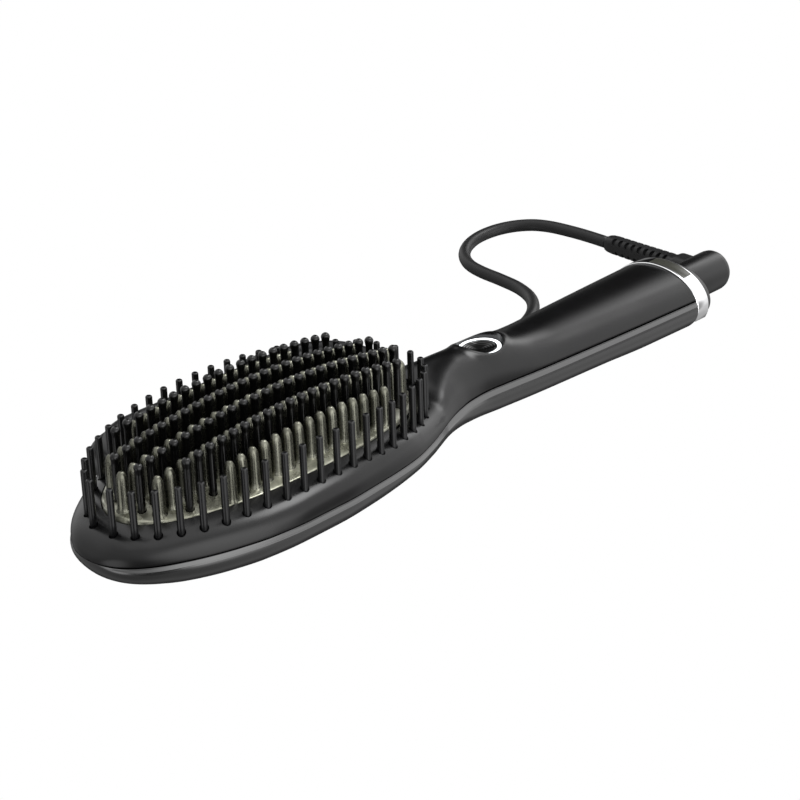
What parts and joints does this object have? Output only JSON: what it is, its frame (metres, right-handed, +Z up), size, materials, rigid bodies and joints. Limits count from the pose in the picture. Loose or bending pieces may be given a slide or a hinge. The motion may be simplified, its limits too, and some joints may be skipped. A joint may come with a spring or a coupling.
{
  "type": "heated hair straightener brush",
  "caption": "Heated paddle hair brush with ceramic teeth, ball-tip and comb bristles, lit power button, chrome end ring and a swivelling mains lead.",
  "frame": {"origin": "centre of the body's footprint on the surface that it lies on", "axes": "+X along the handle from the head's tip to the tail, +Z up out of the bristle side, +Y the side that the lead leaves on"},
  "size_m": [0.29, 0.1325, 0.0451],
  "materials": {
    "body_black": "soft satin",
    "lower_black": "semi-gloss",
    "ceramic_plate": "olive grey ceramic coat with a pearly marbled sheen",
    "ceramic_teeth": "olive grey ceramic coat, pearly",
    "ball_black": "gloss",
    "pin_charcoal": "satin",
    "carrier_grey": "matte",
    "heater_ceramic": "matte",
    "sensor": "glass bead",
    "fuse_metal": "satin",
    "wire_jacket": "silicone",
    "board_green": "solder mask",
    "switch_grey": "matte",
    "light_white": "lit diffuser",
    "button_gloss": "high gloss",
    "chrome_trim": "polished",
    "badge_dark": "gloss",
    "contact_brass": "bright",
    "flange_steel": "brushed",
    "relief_rubber": "matte",
    "screw_steel": "zinc plated",
    "cord_jacket": "matte",
    "tie_black": "woven"
  },
  "bodies": {
    "handle": {"upper_shell": "body_black", "lower_shell": "lower_black", "heater_plate": "ceramic_plate", "heated_teeth": "ceramic_teeth", "bristle_row_1": "ball_black", "bristle_row_2": "ball_black", "bristle_row_3": "ball_black", "bristle_row_4": "ball_black", "bristle_carrier": "carrier_grey", "outer_bristles": "pin_charcoal", "outer_bristle_strip": "pin_charcoal", "heater_element_1": "heater_ceramic", "heater_element_2": "heater_ceramic", "thermistor": "sensor", "thermal_fuse": "fuse_metal", "heater_wires": "wire_jacket", "control_board": "board_green", "tact_switch": "switch_grey", "light_ring": "light_white", "end_ring": "chrome_trim", "ring_badge": "badge_dark", "end_cap": "lower_black", "contact_fingers": "contact_brass", "case_screws": "screw_steel", "cord_tube": "cord_jacket", "cord_hank": "cord_jacket", "cord_tail": "cord_jacket", "hank_tie": "tie_black", "power_plug": "cord_jacket", "plug_blades": "contact_brass"},
    "button": {"power_button": "button_gloss"},
    "swivel": {"swivel_boss": "body_black", "retaining_flange": "flange_steel", "slip_rings": "contact_brass", "strain_relief": "relief_rubber"}
  },
  "joints": [
    {"name": "button_press", "type": "slide", "parent": "handle", "child": "button", "axis": [0, 0, -1], "range_m": [0, 0.0008], "stiffness_N_per_m": 900},
    {"name": "cord_swivel", "type": "hinge", "parent": "handle", "child": "swivel", "pos_m": [0.115, 0, 0.011], "axis": [1, 0, 0], "continuous": true}
  ]
}
